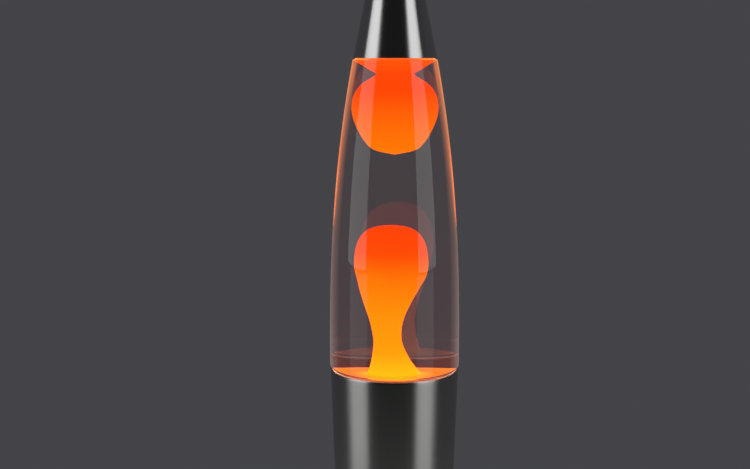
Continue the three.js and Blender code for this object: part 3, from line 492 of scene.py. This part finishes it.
def rounded(points, count):
    """A Catmull-Rom curve through the points: on each span a cubic that leaves along the line from the
    point before to the point after, and arrives in the same way."""
    ends = np.vstack([2 * points[0] - points[1], points, 2 * points[-1] - points[-2]])
    along = np.linspace(0, len(points) - 1, count)
    span = np.minimum(along.astype(int), len(points) - 2)
    t = (along - span)[:, None]
    a, b, c, d = (ends[span + k] for k in range(4))
    curve = 0.5 * (2 * b + (c - a) * t + (2 * a - 5 * b + 4 * c - d) * t**2 + (3 * b - a - 3 * c + d) * t**3)
    curve[0], curve[-1] = points[0], points[-1]
    return curve


bulb_widths = bulb_radius * np.array([0.58, 0.81, 0.95, 1.0, 0.985, 0.89, 0.66, 0.35, 0])
bulb_heights = tip_z + bulb_length * np.array([0.5, 0.615, 0.72, 0.82, 0.865, 0.915, 0.96, 0.99, 1])
envelope_outer = np.vstack(
    [
        [[5.15 * mm, tip_z + 9 * mm], [5.25 * mm, tip_z + 16.3 * mm], [6.0 * mm, tip_z + 18.7 * mm]],
        [[6.3 * mm, tip_z + 22.4 * mm]],
        rounded(np.column_stack([[7.8 * mm, *bulb_widths], [tip_z + 26 * mm, *bulb_heights]]), 60),
    ]
)
envelope_outer[:, 0] = np.clip(envelope_outer[:, 0], 0, bulb_radius)
envelope_outer[:, 1] = np.minimum(envelope_outer[:, 1], tip_z + bulb_length)
envelope_inner = offset(envelope_outer, 0.7 * mm)
frosted_glass = surface(
    "frosted_glass", (0.90, 0.84, 0.72), (0.96, 0.90, 0.80), (0.25, 0.40), grain=(120, 120, 120), bump=0.1,
    Emission_Color=(1.0, 0.62, 0.27, 1), Emission_Strength=2.5,
)
piece(
    "blown_envelope", turned("blown_envelope", np.vstack([envelope_outer, envelope_inner[::-1]]), 96),
    frosted_glass, "bulb", "frosted_glass", "bulb_envelope",
)
thread_rows = np.linspace(4 * mm, 20.6 * mm, 84)[:, None]
thread_columns = 96
thread_turn = (np.arange(thread_columns) * 2 * np.pi / thread_columns)[None, :]
in_thread = np.clip((thread_rows - 5 * mm) / mm, 0, 1) * np.clip((16.5 * mm - thread_rows) / mm, 0, 1)
# The cap's radius falls by half the thread's depth times one less the cosine of height over pitch,
# less the turn.
thread_wave = 0.5 - 0.5 * np.cos(2 * np.pi * thread_rows / thread_pitch - thread_turn)
cap_skin = thread_radius - thread_depth * (1 - in_thread) * (thread_rows < 10 * mm)
cap_skin = cap_skin - thread_depth * in_thread * thread_wave
cap_lining = np.minimum(cap_skin - 0.35 * mm, thread_radius - 0.5 * mm)
cap_radius = np.vstack([cap_skin, cap_lining[::-1]])
cap_height = np.vstack([thread_rows, thread_rows[::-1]]) + tip_z
thread_z = np.repeat(cap_height, thread_columns, axis=1)
cap_points = np.stack([cap_radius * np.cos(thread_turn), cap_radius * np.sin(thread_turn), thread_z], axis=-1)
piece(
    "threaded_cap", grid_mesh("threaded_cap", cap_points, closed_profile=True),
    brass_sheet, "bulb", "brass", "bulb_screw_cap", sharp=60,
)
black_glass = surface("black_glass", (0.006, 0.005, 0.005), (0.012, 0.010, 0.009), (0.12, 0.25), bump=0.1)
tinplate = surface(
    "tinplate", (0.48, 0.475, 0.46), (0.60, 0.59, 0.575), (0.20, 0.36), 1.0,
    grain=(40, 40, 40), blotch=90, bump=0.1,
)
drawn_wire = surface("drawn_wire", (0.20, 0.19, 0.18), (0.32, 0.31, 0.30), (0.3, 0.5), 1.0, bump=0.1)
stem_glass = surface(
    "stem_glass", (0.95, 0.97, 0.96), (0.99, 0.99, 0.99), (0.0, 0.03), bump=0.02,
    Transmission_Weight=1.0, IOR=1.5,
)
finish_nodes(black_glass, "bulb_insulator")
finish_nodes(tinplate, "bulb_tip_contact")
finish_nodes(stem_glass, "bulb_stem")
finish_nodes(drawn_wire, "bulb_filament")

# ---------------------------------------------------------------- glass bottle
# Clear glass blown in a mould: a heel that sits inside the base's rim, a body that overhangs it, and a
# shoulder and neck that the cap hides. Liquid and wax wet the inside up to just above the ledge.

ledge_z = 332.7 * mm
bottle_bottom = rim_height - 27 * mm
floor_z = bottle_bottom + 5 * mm
pool_z = rim_height - 3.3 * mm
liquid_top = ledge_z + 5.3 * mm
glass_wall = 2.8 * mm
body_radius = rim_radius + 0.4 * mm
ledge_radius = 25.4 * mm
widest_z = rim_height + 10 * mm
spigot = rim_bore - 2 * gap
heel = spigot - 1.9 * mm
heel_rounding = 7 * mm
body_corner = 1.6 * mm
body_seat = rim_height + 2 * gap
shoulder = ledge_radius - 1.5 * mm
finish_top = ledge_z + 29.3 * mm
neck_bore = 9.6 * mm
body_taper = 2.33


def body_outline(inset, low, high, steps):
    """The body's radius less an inset: the widest radius, less its difference from the ledge's times the
    share of the height between them to the power of the taper."""
    height = np.linspace(low, high, steps)
    share = np.clip((height - widest_z) / (ledge_z - widest_z), 0, 1)
    return np.column_stack([body_radius - (body_radius - ledge_radius) * share**body_taper - inset, height])


bottle_outer = np.vstack(
    [
        rounded(
            np.array([[0, 2.5], [8, 2.4], [15.4, 2.0], [20.5, 0.6], [22, 0]]) * mm + [0, bottle_bottom],
            16,
        ),
        arc([heel - heel_rounding, bottle_bottom + heel_rounding], heel_rounding, -90, 0, 14),
        [[spigot, body_seat]],
        arc([body_radius - body_corner, body_seat + body_corner], body_corner, -60, 0, 10),
        body_outline(0, widest_z, ledge_z - 0.8 * mm, 60),
        [[shoulder, ledge_z], [shoulder, ledge_z + 1.2 * mm]],
        rounded(
            np.array([[22.5, 4.4], [20.2, 8.9], [16.5, 12.7], [14.4, 16.3], [13.6, 19.3], [13.6, 21.8]]) * mm
            + [0, ledge_z],
            24,
        ),
        [[12.2 * mm, finish_top - 6.7 * mm], [12.2 * mm, finish_top - 5.2 * mm]],
        [[13.3 * mm, finish_top - 4.4 * mm]],
        arc([12.5 * mm, finish_top - 0.8 * mm], 0.8 * mm, 0, 90, 6),
    ]
)
inner_corner = heel_rounding - 1 * mm
inner_heel = heel - glass_wall
bottle_inner = np.vstack(
    [
        [[0, floor_z]],
        arc([inner_heel - inner_corner, floor_z + inner_corner], inner_corner, -90, 0, 12),
        [[spigot - glass_wall, rim_height - 3 * mm], [body_radius - glass_wall, rim_height + 1.6 * mm]],
        body_outline(glass_wall, widest_z + 2 * mm, ledge_z - 1.6 * mm, 60),
        rounded(
            np.array([[19.8, 3.2], [17.5, 7.2], [13.7, 10.8], [11.0, 14.7], [9.6, 18.3]]) * mm + [0, ledge_z],
            24,
        ),
        [[neck_bore, finish_top]],
    ]
)


def glass(name, ior, tint, **sockets):
    """Clear glass with a faint unevenness of its surface. The index is that of the glass over what it
    meets."""
    return surface(
        name, tuple(0.985 * np.array(tint)), tint, (0.0, 0.012), grain=(4, 4, 4), blotch=8, bump=0.03,
        Transmission_Weight=1.0, IOR=ior, **sockets,
    )


def glow_by_height(material, low, high, stops):
    """Sets the emission colour from stops of [share, colour], where the share of a height is zero at the low
    one and one at the high one. Returns the node that splits the place and the one that takes the height."""
    nodes, links = material.node_tree.nodes, material.node_tree.links
    place = nodes.new("ShaderNodeTexCoord")
    split = nodes.new("ShaderNodeSeparateXYZ")
    share = nodes.new("ShaderNodeMapRange")
    share.inputs["From Min"].default_value = low
    share.inputs["From Max"].default_value = high
    ramp = nodes.new("ShaderNodeValToRGB")
    while len(ramp.color_ramp.elements) < len(stops):
        ramp.color_ramp.elements.new(0.5)
    for element, (position, colour) in zip(ramp.color_ramp.elements, stops):
        element.position = position
        element.color = (*colour, 1)
    links.new(place.outputs["Object"], split.inputs["Vector"])
    links.new(split.outputs["Z"], share.inputs["Value"])
    links.new(share.outputs["Result"], ramp.inputs["Fac"])
    links.new(ramp.outputs["Color"], nodes["Principled BSDF"].inputs["Emission Color"])
    return split, share


glass_in_air_painted_glow = glass("glass_in_air_painted_glow", 1.5, (0.985, 0.985, 0.985))
# Painted glow: an emission, strongest where the wall is seen edge-on and most near the top, stands in for
# light led up inside the wall.
glow_by_height(
    glass_in_air_painted_glow, widest_z, ledge_z,
    [
        (0.0, (0.16, 0.125, 0.115)), (0.42, (0.14, 0.085, 0.065)), (0.68, (0.55, 0.17, 0.060)),
        (1.0, (0.85, 0.26, 0.07)),
    ],
)
nodes, links = glass_in_air_painted_glow.node_tree.nodes, glass_in_air_painted_glow.node_tree.links
facing = nodes.new("ShaderNodeLayerWeight")
edge_on = nodes.new("ShaderNodeMapRange")
edge_on.inputs["From Min"].default_value = 0.50
edge_on.inputs["From Max"].default_value = 0.90
links.new(facing.outputs["Facing"], edge_on.inputs["Value"])
links.new(edge_on.outputs["Result"], nodes["Principled BSDF"].inputs["Emission Strength"])
glass_in_liquid = glass("glass_in_liquid", 1.103, (0.985, 0.975, 0.97))
# The heel and the ledge that bears on the rim are stippled in the mould, so they don't mirror the wax. Their
# grey tint is painted shade, and their faint pink glow is a painted highlight.
stippled_glass_painted_shade_glow = surface(
    "stippled_glass_painted_shade_glow", (0.36, 0.36, 0.38), (0.44, 0.44, 0.46), (0.6, 0.8), grain=(90, 90, 90), bump=0.6,
    Transmission_Weight=1.0, IOR=1.35, Emission_Color=(1.0, 0.50, 0.52, 1), Emission_Strength=0.06,
)
bottle = piece(
    "blown_bottle", turned("blown_bottle", np.vstack([bottle_outer, bottle_inner[::-1]]), 224),
    [glass_in_air_painted_glow, glass_in_liquid, stippled_glass_painted_shade_glow], "bottle", "clear_glass", "glass_bottle", sharp=50,
)
faces_by(bottle, bottle_outer, lambda z: z < body_seat + 0.6 * mm, slot=2)
faces_by(bottle, bottle_inner, lambda z: (z < liquid_top) & (z > floor_z - 0.2 * mm))

# ---------------------------------------------------------------- wax
# Dyed paraffin wax with a painted glow, an emission in place of the bulb's light shining through it from
# below: yellow where it leaves the bulb's light, orange and then red as it rises. One mass climbs from its
# pool as a column with a round head; the other hangs from the top.

column_line = np.array(
    [
        [21, -3.3], [13.8, -3], [11.4, -0.9], [8.7, 6.8], [6.8, 15], [6.4, 21.5], [7.6, 31], [10.6, 41.5],
        [14, 52], [16.2, 60], [16.7, 67.5], [15.6, 76.9], [12.6, 83.9], [7.6, 87.9], [0, 89.4],
    ]
) * mm + [0, rim_height]
blob_line = np.array(
    [
        [0, -58.2], [9.4, -55.3], [13.7, -50.2], [16.9, -43], [18.9, -36], [19.4, -29.6], [18.2, -22.6],
        [14.6, -16.2], [8.6, -10.8], [11.6, -7.8], [15.8, -4.2], [18.4, -1.4], [16.8, 5.3],
    ]
) * mm + [0, ledge_z]
column_outline = rounded(column_line, 110)
blob_outline = rounded(blob_line, 90)
column_outline[:, 0] = np.maximum(column_outline[:, 0], 0)
blob_outline[:, 0] = np.maximum(blob_outline[:, 0], 0)


column_stray = 3.7 * mm
stray_height = 70 * mm


def wax_lean(height):
    """How far the column strays along x: less the greatest stray, times the sine of half a turn's share of
    the height over the pool, which stops growing at 0.86 of the stray's height."""
    return -column_stray * np.sin(np.pi * np.clip((height - pool_z) / stray_height, 0, 0.86))


def wax_painted_glow(name, stops, low, high):
    """Wax with a painted glow: an emission whose colour is set by its height, plus up to 6 mm towards the
    axis, where the bulb's light is strongest, with faint clouds in it and a soft wet gloss."""
    made = surface(
        name, (0.75, 0.13, 0.006), (0.85, 0.18, 0.01), (0.22, 0.34), grain=(12, 12, 12), blotch=40, bump=0.15,
        Emission_Strength=1.0, IOR=1.08,
    )
    split, share = glow_by_height(made, low, high, stops)
    nodes, links = made.node_tree.nodes, made.node_tree.links
    place = nodes.new("ShaderNodeTexCoord")
    clouds = nodes.new("ShaderNodeTexNoise")
    clouds.inputs["Scale"].default_value = 45
    shift = nodes.new("ShaderNodeMapRange")
    shift.inputs["To Min"].default_value = -1.5 * mm
    shift.inputs["To Max"].default_value = 1.5 * mm
    flat = nodes.new("ShaderNodeVectorMath")
    flat.operation = "MULTIPLY"
    flat.inputs[1].default_value = (1, 1, 0)
    radius = nodes.new("ShaderNodeVectorMath")
    radius.operation = "LENGTH"
    axis_glow = nodes.new("ShaderNodeMapRange")
    axis_glow.inputs["From Min"].default_value = 12 * mm
    axis_glow.inputs["From Max"].default_value = 30 * mm
    axis_glow.inputs["To Min"].default_value = 6 * mm
    axis_glow.inputs["To Max"].default_value = 0
    glow_lifted = nodes.new("ShaderNodeMath")
    glow_lifted.operation = "ADD"
    height = nodes.new("ShaderNodeMath")
    height.operation = "ADD"
    links.new(place.outputs["Object"], clouds.inputs["Vector"])
    links.new(clouds.outputs["Fac"], shift.inputs["Value"])
    links.new(place.outputs["Object"], flat.inputs[0])
    links.new(flat.outputs["Vector"], radius.inputs[0])
    links.new(radius.outputs["Value"], axis_glow.inputs["Value"])
    links.new(split.outputs["Z"], glow_lifted.inputs[0])
    links.new(axis_glow.outputs["Result"], glow_lifted.inputs[1])
    links.new(glow_lifted.outputs["Value"], height.inputs[0])
    links.new(shift.outputs["Result"], height.inputs[1])
    links.new(height.outputs["Value"], share.inputs["Value"])
    return made


# Painted glow: yellow low down, red high up. The two lowest stops are dark, painted shade on the wax deep
# below the pool's top.
column_wax = wax_painted_glow(
    "column_wax",
    [
        (0.0, (0.22, 0.12, 0.09)), (0.042, (0.22, 0.035, 0.010)), (0.062, (1.7, 0.34, 0.03)),
        (0.078, (2.2, 0.36, 0.03)), (0.125, (1.6, 0.22, 0.025)),
        (0.165, (2.6, 0.58, 0.006)), (0.29, (2.6, 0.38, 0.003)), (0.52, (2.2, 0.30, 0.002)),
        (0.70, (1.6, 0.19, 0.001)), (0.84, (1.1, 0.070, 0.001)), (1.0, (1.05, 0.052, 0.002)),
    ],
    pool_z - 10 * mm, pool_z + 98 * mm,
)
# Painted glow: yellowest at the bottom, where the bulb's light comes in, and reddest two thirds up.
blob_wax = wax_painted_glow(
    "blob_wax",
    [
        (0.0, (1.2, 0.225, 0.001)), (0.30, (1.2, 0.150, 0.001)), (0.66, (1.1, 0.060, 0.001)),
        (0.85, (1.1, 0.060, 0.002)), (1.0, (1.2, 0.105, 0.003)),
    ],
    ledge_z - 55.2 * mm, ledge_z + 5 * mm,
)
coil_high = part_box("wire_coil")[1]
channel = np.array([coil_high.x - 9.4 * mm, coil_high.x + 1.0 * mm])
channel_top = coil_high.z + 1.2 * mm
pool_drop = 7.5 * mm


def inner_at(height):
    """The liquid's radius against the wall at a height: the bottle's inner radius there, less the gap."""
    return np.interp(height, bottle_inner[:, 1], bottle_inner[:, 0]) - gap


pool_wall = offset(bottle_inner, gap)
pool_wall = pool_wall[pool_wall[:, 1] < pool_z - pool_drop]
pool_edge = np.array([[25.5, 0], [28.5, -1.4], [31, -3.9], [0, -7.5]]) * mm + [0, pool_z]
pool_edge[-1, 0] = inner_at(pool_z - pool_drop)
pool_edge = rounded(pool_edge, 24)
column_profile = np.vstack(
    [
        [[0, floor_z + gap], [channel[0], floor_z + gap], [channel[0], channel_top]],
        [[channel[1], channel_top], [channel[1], floor_z + gap]],
        pool_wall[pool_wall[:, 0] > channel[1] + 0.1 * mm],
        pool_edge[::-1],
        column_outline,
    ]
)
lean = np.where(np.arange(len(column_profile)) >= len(column_profile) - len(column_outline),
                wax_lean(column_profile[:, 1]), 0)
piece(
    "rising_wax", turned("rising_wax", column_profile, 160, lean),
    column_wax, "bottle", "orange_wax", "wax_column", sharp=60,
)
blob_profile = np.vstack([blob_outline, [[0, liquid_top]]])
piece(
    "hanging_wax", turned("hanging_wax", blob_profile, 160),
    blob_wax, "bottle", "orange_wax", "wax_blob", sharp=60,
)
coil_steel = surface(
    "coil_steel", (0.5, 0.5, 0.5), (0.62, 0.62, 0.61), (0.15, 0.3), 1.0, grain=(60, 60, 60), bump=0.1,
)
finish_nodes(coil_steel, "wire_coil")

# ---------------------------------------------------------------- clear liquid
# Salted water, faintly stained by the wax's dye, fills the bottle round the wax up to its level above the
# ledge; a faint red glow just over the pool is painted light. The glass's inner wall already bends light as
# glass over water, so the liquid's own sides bend none.

wet_wall = offset(bottle_inner, gap)
liquid_lift = 2.5 * gap
wet_low = pool_edge[-1, 1] + liquid_lift
wet_wall = wet_wall[(wet_wall[:, 1] > wet_low) & (wet_wall[:, 1] < liquid_top)]
round_column = offset(column_outline, -gap)
round_blob = offset(blob_outline, -gap)
round_blob[-1, 1] = liquid_top
round_column = round_column[round_column[:, 1] > pool_z + liquid_lift]
over_pool = pool_edge + [0, liquid_lift]
liquid_profile = np.vstack(
    [
        over_pool[:-1],
        [[inner_at(wet_low), wet_low]],
        wet_wall,
        [[inner_at(liquid_top), liquid_top]],
        round_blob[::-1],
        round_column[::-1],
    ]
)
lean = np.where(np.arange(len(liquid_profile)) >= len(liquid_profile) - len(round_column),
                wax_lean(liquid_profile[:, 1]), 0)
liquid_side_painted_glow = glass("liquid_side_painted_glow", 1.0, (1.0, 0.985, 0.98), Emission_Strength=1.0)
# A faint red glow, strongest just over the pool, is painted light: it stands in for the bulb's light
# scattered in the liquid.
glow_by_height(
    liquid_side_painted_glow, pool_z, ledge_z, [(0.0, (0.012, 0.0010, 0.0005)), (0.6, (0.004, 0.0003, 0.0002))]
)
liquid_surface = glass("liquid_surface", 1.36, (1.0, 0.985, 0.98))
liquid = piece(
    "liquid_fill", turned("liquid_fill", liquid_profile, 160, lean),
    [liquid_side_painted_glow, liquid_surface], "bottle", "clear_liquid", "clear_liquid", sharp=50,
)
faces_by(liquid, bottle_outer, lambda z: z > liquid_top - 0.05 * mm)

# ---------------------------------------------------------------- crown cork and seal
# A tinned steel cap crimped over the bottle's finish, with twenty-one flutes that fade out towards its
# flat top, and a soft liner under it.

crown_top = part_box("crown_cork")[1].z
flutes = 21
crown_columns = 168
crown_sheet = 0.4 * mm
flute_depth = 0.38 * mm
crown_line = rounded(
    np.column_stack([[14.4, 14.35, 13.9, 12.9, 11.4, 6, 0], [-6, -3.4, -1.3, -0.35, 0, 0, 0]]) * mm
    + [0, crown_top],
    40,
)
crown_line[:, 1] = np.minimum(crown_line[:, 1], crown_top)
crown_profile = np.vstack([crown_line, offset(crown_line, crown_sheet)[::-1]])
crown_turn = (np.arange(crown_columns) * 2 * np.pi / crown_columns)[None, :]
# The skirt's radius gains the flutes' depth times the cosine of twenty-one turns, growing downwards.
flute = np.clip((crown_top - crown_profile[:, 1:] - 1 * mm) / (5 * mm), 0, 1) * flute_depth
crown_r = crown_profile[:, :1] + flute * np.cos(flutes * crown_turn)
crown_z = np.repeat(crown_profile[:, 1:], crown_columns, axis=1)
crown_points = np.stack([crown_r * np.cos(crown_turn), crown_r * np.sin(crown_turn), crown_z], axis=-1)
piece(
    "crimped_crown", grid_mesh("crimped_crown", crown_points, closed_profile=True),
    tinplate, "bottle", "tinplate", "crown_cork", sharp=60,
)
finish_nodes(silicone, "crown_seal")

# ---------------------------------------------------------------- top cap
# A thin cone of the same spun aluminium, with a rounded nose. It has no fixing: it drops over the neck
# and rests with its lower edge just above the bottle's ledge.

cap_bottom = ledge_z + gap
cap_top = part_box("top_cap")[1].z
cap_sheet = 0.9 * mm
nose = 5 * mm
cap_slope = 11.6
nose_z = cap_top - nose
nose_r = (
    ledge_radius
    - (nose_z + nose * np.sin(cap_slope * degrees) - cap_bottom) * np.tan(cap_slope * degrees)
    - nose * np.cos(cap_slope * degrees)
)
cap_outer = np.vstack(
    [[[ledge_radius, cap_bottom]], arc([nose_r, nose_z], nose, cap_slope, 90, 14), [[0, cap_top]]]
)
cap_inner = offset(cap_outer, cap_sheet)
cap_inner[:, 1] = np.maximum(cap_inner[:, 1], cap_bottom)
spun_bright = spun("spun_bright", (0.27, 0.31), 1.0, (0.57, 0.57, 0.565), (0.62, 0.62, 0.615))
piece(
    "spun_cone", turned("spun_cone", even(np.vstack([cap_outer, cap_inner[::-1]]), 2 * mm), 200),
    spun_bright, "cap", "spun_aluminium", "top_cap",
)

# ---------------------------------------------------------------- table, lights and camera
# A small round pale table. Two tall soft lights stand left and right of the camera, each over a low one,
# and leave two upright bands down the metal and the glass, against a dull grey room.

table = turned(
    "table", np.vstack([[[0, -20 * mm]], arc([207 * mm, -3 * mm], 3 * mm, 0, 90, 8), [[0, 0]]]), 128
)
table_finish = surface(
    "table_finish", (0.55, 0.55, 0.54), (0.60, 0.60, 0.59), (0.6, 0.75),
    grain=(20, 20, 20), blotch=10, bump=0.05,
)
table.shade_smooth()
table.set_sharp_from_angle(angle=35 * degrees)
table.materials.append(table_finish)
table_object = bpy.data.objects.new("table", table)
bpy.context.collection.objects.link(table_object)


def soft_light(name, azimuth, distance, height, width, tall, power):
    """A rectangular light that stands upright and faces the lamp. Azimuth is from the front, towards the
    right. It shows in reflections, but neither straight on nor through the glass."""
    data = bpy.data.lights.new(name, "AREA")
    data.shape = "RECTANGLE"
    data.size, data.size_y = width, tall
    data.energy = power
    made = bpy.data.objects.new(name, data)
    bpy.context.collection.objects.link(made)
    angle = azimuth * degrees
    made.location = (distance * np.sin(angle), -distance * np.cos(angle), height)
    aim = Vector((-made.location.x, -made.location.y, 0))
    made.rotation_euler = aim.to_track_quat("-Z", "Y").to_euler()
    made.visible_camera = False
    made.visible_transmission = False
    return made


soft_light("left_light", -71, 0.9, 0.75, 0.64, 1.26, 3.3)
soft_light("right_light", 60, 0.9, 0.75, 0.58, 1.26, 3.0)
soft_light("left_low_light", -66, 0.9, -0.15, 0.58, 0.53, 0.46)
soft_light("right_low_light", 55, 0.9, -0.15, 0.54, 0.53, 0.44)

room = bpy.data.worlds.new("room")
room.use_nodes = True
nodes, links = room.node_tree.nodes, room.node_tree.links
way = nodes.new("ShaderNodeTexCoord")
split = nodes.new("ShaderNodeSeparateXYZ")
share = nodes.new("ShaderNodeMapRange")
share.inputs["From Min"].default_value = -0.6
share.inputs["From Max"].default_value = 0.3
shade = nodes.new("ShaderNodeValToRGB")
shade.color_ramp.elements[0].color = (0.012, 0.012, 0.012, 1)
shade.color_ramp.elements[1].color = (0.058, 0.058, 0.065, 1)
links.new(way.outputs["Generated"], split.inputs["Vector"])
links.new(split.outputs["Y"], share.inputs["Value"])
links.new(share.outputs["Result"], shade.inputs["Fac"])
links.new(shade.outputs["Color"], nodes["Background"].inputs["Color"])
bpy.context.scene.world = room

camera = bpy.data.objects.new("camera", bpy.data.cameras.new("camera"))
camera.data.sensor_width = 36
camera.data.lens = 59.8
camera.location = (0, -0.757, 0.333)
camera.rotation_euler = ((90 - 8.06) * degrees, 0, 0.915 * degrees)
bpy.context.collection.objects.link(camera)
scene = bpy.context.scene
scene.camera = camera
scene.view_settings.view_transform = "Standard"
# Light that is led along inside the bottle's wall turns many times before it comes out.
bounces = 96
scene.cycles.max_bounces = bounces
scene.cycles.transmission_bounces = bounces
scene.cycles.glossy_bounces = bounces
